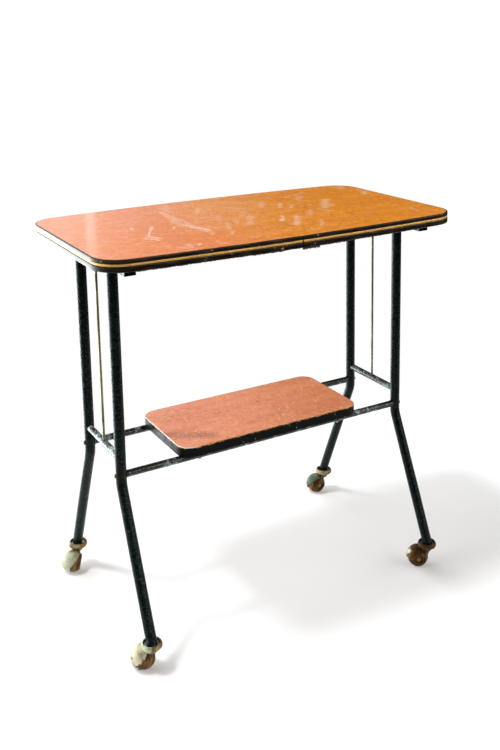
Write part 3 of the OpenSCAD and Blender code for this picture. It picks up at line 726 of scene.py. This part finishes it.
# The weld beads: an uneven ring round each tube end where it meets the next tube
# Tube radii, a leg's place above its bend, and the heights where tubes meet
RAIL_R, LEG_R, LEG_PLACE = 0.00635, 0.0095, (0.2968, 0.0785)
CROSS_Z, LONG_Z, BAR_UNDER = 0.34, 0.3105, 0.6836
BEAD_R, BEAD_WOBBLE = 0.0011, 0.00022
beading, given, out = new_geometry_tree("weld_bead", {
    "Radius": "Float", "Wobble": "Float", "Seed": "Int", "Finish": "Material",
})
dot = add_node(beading, "GeometryNodeCurvePrimitiveCircle", {"Resolution": 8, "Radius": given["Radius"]})
tube = add_node(beading, "GeometryNodeCurveToMesh", {
    "Curve": curve_of(beading, given["Geometry"]), "Profile Curve": dot.outputs[0],
}).outputs[0]
shaken = random_in(beading, (-1, -1, -1), (1, 1, 1), given["Seed"])
moved = vector_calc(beading, "SCALE", shaken, Scale=given["Wobble"])
tube = add_node(beading, "GeometryNodeSetPosition", {"Geometry": tube, "Offset": moved}).outputs[0]
finish_tree(beading, tube, given["Finish"], out)

beads = []
circle = [(math.cos(2 * math.pi * k / 36), math.sin(2 * math.pi * k / 36)) for k in range(36)]
# Round a rail's end: how far from the leg's middle its wall lies, across and up
saddle = [(math.sqrt(LEG_R ** 2 - (RAIL_R * c) ** 2), RAIL_R * c, RAIL_R * s) for c, s in circle]
for i, (sx, sy) in enumerate(((-1, -1), (-1, 1), (1, -1), (1, 1))):
    x, y = sx * LEG_PLACE[0], sy * LEG_PLACE[1]
    for k, points in enumerate((
        [(x + across, y - sy * wall, CROSS_Z + rise) for wall, across, rise in saddle],
        [(x - sx * wall, y + across, LONG_Z + rise) for wall, across, rise in saddle],
        [(x + LEG_R * c, y + LEG_R * s, BAR_UNDER) for c, s in circle],
    )):
        beads.append(made_by(beading, line_object("ring", points, True), "bead", {
            "Radius": BEAD_R, "Wobble": BEAD_WOBBLE, "Seed": 4 * i + k, "Finish": leg_enamel,
        }))
welds = joined(beads, "weld_beads", leg_enamel)
merged(welds, 80)
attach(welds, "frame")

# ---------------------------------------- brass rods
# A thin brass rod at each end of the table, let into the cross rail and the bar. It has gone dull
# and greenish, with darker patches where it was handled.
ROD_LEFT, ROD_RIGHT = (0.4, 0.36, 0.19), (0.26, 0.29, 0.22)
ROD_DULL = (0.13, 0.13, 0.075)
rod_brass, tree, shader = new_material("rod_brass", Metallic=0.8)
place = object_place(tree)
dull = span(tree, noise_at(tree, object_place(tree, (90, 90, 22)), 1, 4, 0.6), 0.35, 0.65)
bright = mixed(tree, span(tree, split(tree, place)["X"], -0.2, 0.2), ROD_LEFT, ROD_RIGHT)
colour, rough = mixed(tree, dull, bright, ROD_DULL), span(tree, dull, 0, 1, 0.3, 0.55)
dress(tree, shader, colour, rough, noise_at(tree, place, 900, 2), 0.12, 0.0002)
wear(["brass_rod_left", "brass_rod_right"], rod_brass)

# ---------------------------------------- screws and nuts
# Slotted round-headed brass screws run through the legs into nuts in the long rails. Plain steel
# screws, seen only from below, hold the top on its bars and the shelf on its rails.
# Radii of shank and head, the head's height, its slot's width and depth
SCREW_R, HEAD_R, HEAD_H, SLOT_W, SLOT_D = 0.002, 0.00475, 0.003, 0.0012, 0.0011
SCREW_END, HEAD_UNDER, HEAD_RIM = -0.033, -0.0016, 0.0003


def two_tone(name, pattern, edges, colours, roughness, relief, **sockets):
    """A material in patches of two colours and two roughnesses: the patches' noise and its edges,
    and the relief's noise, strength and depth, where no noise means the patches themselves."""
    made, tree, shader = new_material(name, **sockets)
    place = object_place(tree)
    patches = span(tree, noise_at(tree, place, *pattern), *edges)
    bumps, strength, depth = relief
    dress(tree, shader, mixed(tree, patches, *colours), span(tree, patches, 0, 1, *roughness),
          noise_at(tree, place, *bumps) if bumps else patches, strength, depth)
    return made


def old_brass(name, clean, grimy):
    """Brass gone dull, with grime in its hollows."""
    return two_tone(name, (500, 4, 0.6), (0.42, 0.7), (clean, grimy), (0.28, 0.6),
                    (None, 0.2, 0.0002), Metallic=0.85)


screw_brass = old_brass("screw_brass", (0.13, 0.085, 0.032), (0.028, 0.019, 0.01))
steel = two_tone("bare_steel", (160, 5, 0.65), (0.45, 0.72),
                 ((0.46, 0.46, 0.45), (0.17, 0.12, 0.085)), (0.32, 0.62),
                 ((1100, 3), 0.15, 0.0002), Metallic=1)
wear(["rail_nuts", "top_screws", "shelf_screws"] + at_corners("socket", "stem"), steel)


def turned_piece(name, profile, sides, material):
    """A solid turned about X from places along X and radii, of which the first and last are 0."""
    work = bmesh.new()
    around = [2 * math.pi * i / sides for i in range(sides)]
    rings = [[work.verts.new((x, r * math.cos(a), r * math.sin(a))) for a in around[:sides if r else 1]]
             for x, r in profile]
    for low, high in zip(rings, rings[1:]):
        for i in range(sides):
            steps = (low, i), (low, i + 1), (high, i + 1), (high, i)
            work.faces.new(list(dict.fromkeys(ring[k % len(ring)] for ring, k in steps)))
    bmesh.ops.recalc_face_normals(work, faces=work.faces)
    return piece_from(work, name, material)


dome_r = (HEAD_R ** 2 + HEAD_H ** 2) / (2 * HEAD_H)
dome = [(HEAD_H - dome_r + dome_r * math.cos(a), dome_r * math.sin(a))
        for a in (math.asin(HEAD_R / dome_r) * (1 - k / 7) for k in range(8))]
shank = [(SCREW_END, 0), (SCREW_END, SCREW_R), (HEAD_UNDER, SCREW_R), (HEAD_UNDER, HEAD_R - HEAD_RIM)]
head = turned_piece("screw", shank + [(-HEAD_RIM, HEAD_R)] + dome[:-1] + [(HEAD_H, 0)], 32, screw_brass)
bpy.ops.mesh.primitive_cube_add(size=1, location=(HEAD_H - SLOT_D + 0.005, 0, 0))
cutter = bpy.context.object
cutter.scale = (0.01, SLOT_W, 0.02)
cut = head.modifiers.new("slot", "BOOLEAN")
cut.object, cut.operation, cut.solver = cutter, "DIFFERENCE", "EXACT"
slotted = add_object("slotted", plain_mesh(head, "slotted"))
bpy.data.objects.remove(cutter)

# Puts a screw at each point, its head away from the middle of the table, turned to a chance angle
setting, given, out = new_geometry_tree("screws_at_points", {
    "Screw": "Object", "Seed": "Int", "Finish": "Material",
})
where = split(setting, add_node(setting, "GeometryNodeInputPosition").outputs[0])["X"]
facing = times(setting, calc(setting, "LESS_THAN", where, 0), math.pi)
rolled = random_in(setting, 0, 3.1, given["Seed"])
angles = add_node(setting, "ShaderNodeCombineXYZ", {"X": rolled, "Z": facing}).outputs[0]
points = add_node(setting, "GeometryNodeMeshToPoints", {0: given["Geometry"]}).outputs[0]
placed = instances(setting, points, given["Screw"], angles)
finish_tree(setting, placed, given["Finish"], out)
places = line_object("screw_places", [
    (sx * (LEG_PLACE[0] + LEG_R), sy * LEG_PLACE[1], LONG_Z) for sx in (-1, 1) for sy in (-1, 1)
], False)
screws = made_by(setting, places, "rail_screw_set", {"Screw": slotted, "Seed": 2, "Finish": screw_brass})
bpy.data.objects.remove(slotted)
merged(screws, 40)
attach(screws, "frame")
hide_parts("rail_screws")

# ---------------------------------------- shelf
# A board like the top's, with a redder laminate and a black band glued round its edge. The laminate
# is specked with pale dirt and nicked along its front edge, where the band has rubbed thin.
SHELF_LIT_RED, SHELF_SHADED_RED = (0.99, 0.38, 0.215), (0.84, 0.305, 0.13)
SHELF_GRAIN, SHELF_SPECK = (0.6, 0.165, 0.07), (0.92, 0.74, 0.56)
RIM_FRONT, RIM_REAR, RIM_NICK = (0.5, 0.16, 0.07), (0.02, 0.014, 0.01), (0.92, 0.52, 0.14)
RIM_LEFT_HIGHLIGHT, DARK_GRAIN = (0.95, 0.93, 0.88), (0.26, 0.075, 0.035)
BAND_BLACK, BAND_NICK = (0.0025, 0.0035, 0.0035), (0.7, 0.38, 0.11)
# Pale spots and one dark streak in millimetres, as scratches
SHELF_SPOTS = [((x, y), (x + 1.5, y - 1), width, 1) for x, y, width in (
    (43, -57, 3.2), (20, 48, 2), (2, 63, 1.8), (148, -18, 2), (-49, 3, 1.6), (-11, -79, 2),
    (3, -95, 2.2), (-122, 51, 1.8), (-102, -37, 1.6),
)]
SHELF_STREAK = (((-182, -23), (-117, -64), 30, 0.48),)
# The middle of the sheet's upper face, how far its straight sides reach, and the corners' radius
SHELF_MIDDLE, SHELF_STRAIGHT, SHELF_CORNER = (0.004, 0, 0.334), (0.165, 0.07, 1), 0.026
shelf_laminate, tree, shader = new_material("shelf_laminate", IOR=1.5)
place = object_place(tree)
flat_place = vector_calc(tree, "MULTIPLY", place, (1, 1, 0))
spot = split(tree, place)
# Lighter at the left end, toward the window, and darker toward the right: painted light and shade over
# the laminate's red
ground_colour = mixed(tree, span(tree, spot["X"], -0.1, 0.16), SHELF_LIT_RED, SHELF_SHADED_RED)
print_out = fill_group(tree, grain, Position=place, Ground=ground_colour, Line=SHELF_GRAIN,
                       Depth=0.85, Grit=0.16)
specks = fill_group(tree, chips, Position=place, Scale=120, Share=0.2, Reach=0.24)["Mask"]
small = fill_group(tree, chips, Position=place, Scale=300, Share=0.14, Reach=0.42)["Mask"]
pale = most(tree, times(tree, most(tree, specks, small), 0.8), marks(tree, flat_place, SHELF_SPOTS),
            fill_group(tree, scuffs, Position=place, Amount=0.22)["Mask"])
colour = mixed(tree, marks(tree, flat_place, SHELF_STREAK), print_out["Color"], DARK_GRAIN)
colour = mixed(tree, times(tree, pale, 0.85), colour, SHELF_SPECK)
# The rim of the sheet, by the distance from its rounded outline: a painted highlight along the left end,
# else dark
from_middle = vector_calc(tree, "ABSOLUTE", vector_calc(tree, "SUBTRACT", place, SHELF_MIDDLE))
in_corner = vector_calc(tree, "SUBTRACT", from_middle, SHELF_STRAIGHT)
in_corner = vector_calc(tree, "LENGTH", vector_calc(tree, "MAXIMUM", in_corner, (0, 0, 0)), output=1)
rim = span(tree, in_corner, SHELF_CORNER - 0.0018, SHELF_CORNER - 0.001)
edge_nick = times(tree, span(tree, noise_at(tree, place, 120, 5, 0.75), 0.51, 0.55),
                  span(tree, spot["Y"], 0.03, -0.05))
rim_colour = mixed(tree, span(tree, spot["Y"], 0.04, 0.08), RIM_FRONT, RIM_REAR)
rim_colour = mixed(tree, edge_nick, rim_colour, RIM_NICK)
rim_colour = mixed(tree, span(tree, spot["X"], -0.15, -0.165), rim_colour, RIM_LEFT_HIGHLIGHT)
rough = scaled(tree, pale, 0.3, uneven(tree, place, 12, 0.26, 0.4))
height = calc(tree, "ADD", print_out["Height"], pale)
dress(tree, shader, mixed(tree, rim, colour, rim_colour), rough, height, 0.12, 0.0002)
wear(["shelf_laminate"], shelf_laminate)

band_black, tree, shader = new_material("shelf_band", Specular_IOR_Level=0.08)
place = object_place(tree)
nick = span(tree, noise_at(tree, place, 200, 5, 0.75), 0.51, 0.56)
nick = most(tree, times(tree, nick, span(tree, split(tree, place)["Z"], 0.3318, 0.3332)),
            fill_group(tree, chips, Position=place, Scale=400, Share=0.012, Reach=0.35)["Mask"])
colour, rough = mixed(tree, nick, BAND_BLACK, BAND_NICK), uneven(tree, place, 70, 0.3, 0.48)
height = calc(tree, "SUBTRACT", noise_at(tree, place, 500), nick)
dress(tree, shader, colour, rough, height, 0.2, 0.0003)
wear(["shelf_edge_band"], band_black)

# ---------------------------------------- castor hoods
# Die-cast hoods, brass plated and lacquered, half a hollow ball each with a bowl for the leg end on a
# short neck. The plating has dulled to a pale green bloom and brown. The pale side, toward the window,
# is also a painted reflection of it, and the brown side is a painted shade. Each hood is darker brown
# towards the bottom.
# Size of the skin's cells, rounds of easing, and the darker brown towards the bottom
HOOD_VOXEL, HOOD_ROUNDS, HOOD_LOW_BROWN = 0.00055, 4, (0.085, 0.046, 0.018)
# The direction across the photo in X and Y, and how high the ball reaches below the cup
ACROSS_X, ACROSS_Y, BALL_TOP = 0.86, -0.51, 0.038
# Where the ball's middle lies along X, what share is pale, the pale colours of ball and cup (bloom and
# painted reflection), the brown (with painted shade)
HOOD_COLOURS = {
    "left_front": (-0.305, 0.5, (0.6, 0.54, 0.38), (0.5, 0.56, 0.38), (0.17, 0.095, 0.032)),
    "left_rear": (-0.311, 0.5, (0.5, 0.54, 0.38), (0.46, 0.54, 0.36), (0.17, 0.1, 0.035)),
    "right_front": (0.286, 0.2, (0.11, 0.052, 0.017), (0.19, 0.125, 0.038), (0.062, 0.029, 0.008)),
    "right_rear": (0.28, 0.62, (0.085, 0.125, 0.08), (0.4, 0.32, 0.19), (0.13, 0.085, 0.04)),
}
# Patches on two balls: on the left front a bare brown patch with a very dark jagged rim, on the right
# front a pale painted reflection of the window. The ball's middle and radius, which side, how far in, at
# what height, the patch's colour and its rim's
HOOD_PATCH_AND_REFLECTION = {
    "left_front": (
        (-0.3003, -0.17, 0.0225, 0.023), 1, 0.72, -0.35, (0.16, 0.072, 0.014), (0.012, 0.007, 0.003),
    ),
    "right_front": (
        (0.2855, -0.1753, 0.0225, 0.023), -1.4, -0.36, 0.02, (0.5, 0.45, 0.29), (0.3, 0.23, 0.12),
    ),
}


def hood_finish(corner):
    """The worn plating of one hood: a pale bloom with a painted reflection of the window toward the
    window's side, and brown with painted shade on the other.
    """
    middle, share, ball_bloom_and_sheen, cup_bloom_and_sheen, brown = HOOD_COLOURS[corner]
    made, tree, shader = new_material("hood_brass_" + corner, Metallic=0.45, Specular_IOR_Level=0.25)
    place = object_place(tree)
    spot = split(tree, place)
    cloud = noise_at(tree, place, 75, 5, 0.65)
    # Paler toward the window's side along X and browner away from it: painted reflection and painted
    # shade over the bloom.
    toward = scaled(tree, calc(tree, "SUBTRACT", spot["X"], middle), -16, share)
    clouded = scaled(tree, calc(tree, "SUBTRACT", cloud, 0.5), 1.6, toward)
    # Darker brown towards the bottom of the hood
    darkening = scaled(tree, spot["Z"], -9, noise_at(tree, place, 130, 5, 0.7))
    bloom_and_sheen = mixed(tree, span(tree, spot["Z"], 0.04, 0.047), ball_bloom_and_sheen, cup_bloom_and_sheen)
    colour = mixed(tree, span(tree, clouded, 0.25, 0.75), brown, bloom_and_sheen)
    colour = mixed(tree, span(tree, darkening, 0.28, 0.62, 0, 0.6), colour, HOOD_LOW_BROWN)
    # The right front hood's pale patch is a painted reflection of the window
    if corner in HOOD_PATCH_AND_REFLECTION:
        # Across and up the ball as it is seen from the front, from its middle and in radii
        (x, y, z, radius), inner, rim, level, patch_colour, line_colour = HOOD_PATCH_AND_REFLECTION[corner]
        start = -(ACROSS_X * x + ACROSS_Y * y) / radius
        across = scaled(tree, spot["Y"], ACROSS_Y / radius, start)
        across = scaled(tree, spot["X"], ACROSS_X / radius, across)
        above = scaled(tree, spot["Z"], 1 / radius, -z / radius)
        jags = calc(tree, "SUBTRACT", noise_at(tree, place, 190, 2, 0.6), 0.5)
        jagged = times(tree, scaled(tree, jags, 1.1, across), inner)
        off_level = calc(tree, "ABSOLUTE", calc(tree, "SUBTRACT", above, level))
        inside = calc(tree, "ADD", jagged, scaled(tree, off_level, -1, rim))
        inside = times(tree, inside, calc(tree, "LESS_THAN", spot["Z"], BALL_TOP))
        patch = mixed(tree, span(tree, cloud, 0.4, 0.6), patch_colour, line_colour)
        colour = mixed(tree, span(tree, inside, 0, 0.05), colour, line_colour)
        colour = mixed(tree, span(tree, inside, 0.12, 0.25), colour, patch)
    height = scaled(tree, cloud, 1.5, noise_at(tree, place, 420, 4))
    dress(tree, shader, colour, span(tree, cloud, 0.3, 0.7, 0.3, 0.52), height, 0.22, 0.0006)
    return made


def cast_copy(node, name, material):
    """A copy of a CAD node with its edges rounded off as a casting's are, as one closed skin."""
    copy = add_object(name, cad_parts[node].data.copy())
    merged(copy)
    skin = copy.modifiers.new("skin", "REMESH")
    skin.mode, skin.voxel_size = "VOXEL", HOOD_VOXEL
    ease = copy.modifiers.new("ease", "SMOOTH")
    ease.factor, ease.iterations = 0.5, HOOD_ROUNDS
    mesh = plain_mesh(copy, name)
    mesh.materials.clear()
    mesh.materials.append(material)
    mesh.shade_smooth()
    return add_object(name, mesh)


for corner in CORNERS:
    hood = cast_copy("hood_" + corner, "cast_hood_" + corner, hood_finish(corner))
    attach(hood, "castor_" + corner)
    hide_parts("hood_" + corner)

# ---------------------------------------- castor wheels, tyres and axles
# A brown moulded wheel, turned to part of a ball, runs in each hood on a brass axle with a round
# head. A darker hard tyre is pressed round it, and a brass washer sits under the leg end.
wheel_brown = two_tone("wheel_brown", (120, 5, 0.65), (0.4, 0.72),
                       ((0.044, 0.017, 0.003), (0.125, 0.056, 0.01)), (0.24, 0.5),
                       ((380, 4), 0.14, 0.0003), Specular_IOR_Level=0.12)
tyre_rubber = two_tone("tyre", (170, 5, 0.7), (0.42, 0.7),
                       ((0.14, 0.07, 0.013), (0.31, 0.17, 0.04)), (0.36, 0.68),
                       ((600, 4), 0.2, 0.0003), Specular_IOR_Level=0.18)
wear(at_corners("wheel"), wheel_brown)
wear(at_corners("tyre"), tyre_rubber)
axle_brass = old_brass("axle_brass", (0.3, 0.2, 0.07), (0.05, 0.032, 0.015))
wear(at_corners("axle", "washer"), axle_brass)
